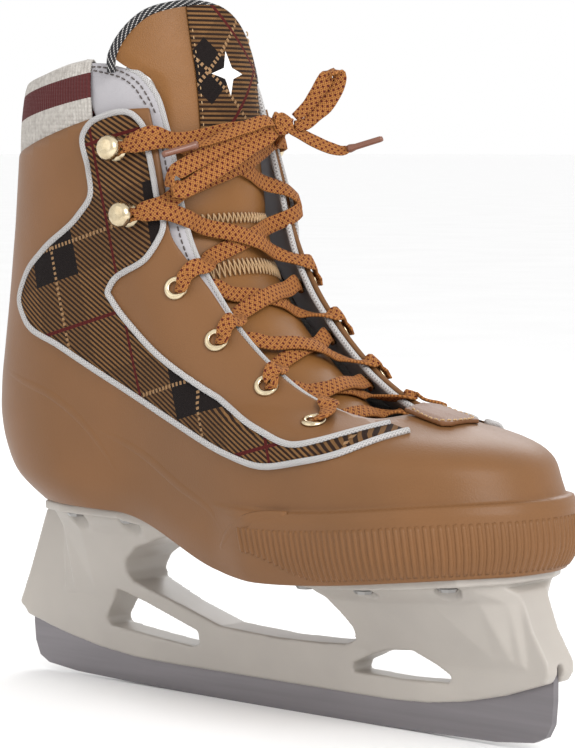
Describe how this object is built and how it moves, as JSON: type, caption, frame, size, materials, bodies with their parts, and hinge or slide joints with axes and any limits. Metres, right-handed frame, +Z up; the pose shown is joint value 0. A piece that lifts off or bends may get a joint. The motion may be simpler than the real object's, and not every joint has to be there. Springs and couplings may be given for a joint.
{
  "type": "ice skate",
  "caption": "Laced recreational ice skate for the right foot: moulded boot with padded tongue and knitted cuff, riveted to a plastic holder that carries a steel runner.",
  "frame": {"origin": "middle of the runner's flat bottom edge, on the ice", "axes": "+X from heel to toe along the runner, +Y to the skate's left (inner) side, +Z up"},
  "size_m": [0.2908, 0.1048, 0.2809],
  "materials": {
    "boot_skin": "satin moulded skin with a fine grain, ribbed at the toe",
    "grey_leather": "soft light grey leather with dark stitching and a white edge",
    "plaid_fabric": "dark brown plaid weave with tan stripes and thin red lines",
    "white_piping": "off-white braided cord",
    "liner_fabric": "dark brushed lining",
    "footbed_foam": "dark felt over foam",
    "cuff_knit": "ribbed off-white knit with a dark red band",
    "tab_leather": "brown leather with tan stitching",
    "tongue_leather": "smooth warm brown leather",
    "lining_fabric": "light felt",
    "emblem_white": "raised white badge",
    "binding_weave": "black tape with white dots",
    "lace_weave": "flat orange-tan weave with dark red flecks",
    "aglet_plastic": "brown plastic tip",
    "eyelet_brass": "polished",
    "holder_plastic": "moulded off-white plastic",
    "runner_steel": "ground satin steel",
    "rivet_steel": "plain",
    "bolt_steel": "plain"
  },
  "bodies": {
    "boot": {"aglet_left": "aglet_plastic", "aglet_right": "aglet_plastic", "boot_shell": "boot_skin", "bow_loop_left": "lace_weave", "bow_loop_right": "lace_weave", "collar_facing_left": "grey_leather", "collar_facing_right": "grey_leather", "eyelet_1_left": "eyelet_brass", "eyelet_1_right": "eyelet_brass", "eyelet_2_left": "eyelet_brass", "eyelet_2_right": "eyelet_brass", "eyelet_3_left": "eyelet_brass", "eyelet_3_right": "eyelet_brass", "eyelet_4_left": "eyelet_brass", "eyelet_4_right": "eyelet_brass", "footbed": "footbed_foam", "holder": "holder_plastic", "knit_cuff": "cuff_knit", "lace": "lace_weave", "lace_end_left": "lace_weave", "lace_end_right": "lace_weave", "lace_hook_1_left": "eyelet_brass", "lace_hook_1_right": "eyelet_brass", "lace_hook_2_left": "eyelet_brass", "lace_hook_2_right": "eyelet_brass", "lace_knot": "lace_weave", "liner": "liner_fabric", "piping_left": "white_piping", "piping_right": "white_piping", "plaid_panel_left": "plaid_fabric", "plaid_panel_right": "plaid_fabric", "rivet_front_1_left": "rivet_steel", "rivet_front_1_right": "rivet_steel", "rivet_front_2_left": "rivet_steel", "rivet_front_2_right": "rivet_steel", "rivet_front_3_left": "rivet_steel", "rivet_front_3_right": "rivet_steel", "rivet_rear_1_left": "rivet_steel", "rivet_rear_1_right": "rivet_steel", "rivet_rear_2_left": "rivet_steel", "rivet_rear_2_right": "rivet_steel", "runner": "runner_steel", "runner_bolt_front": "bolt_steel", "runner_bolt_rear": "bolt_steel", "runner_nut_front": "bolt_steel", "runner_nut_rear": "bolt_steel", "toe_tab": "tab_leather"},
    "tongue": {"tongue_binding": "binding_weave", "tongue_body": "tongue_leather", "tongue_emblem": "emblem_white", "tongue_lining": "lining_fabric", "tongue_patch": "plaid_fabric"}
  },
  "joints": [
    {"name": "tongue_tilt", "type": "hinge", "parent": "boot", "child": "tongue", "pos_m": [0.068, 0, 0.109], "axis": [0, 1, 0], "range_deg": [-2.5, 0], "stiffness_Nm_per_rad": 5, "springref_deg": 0.57}
  ]
}
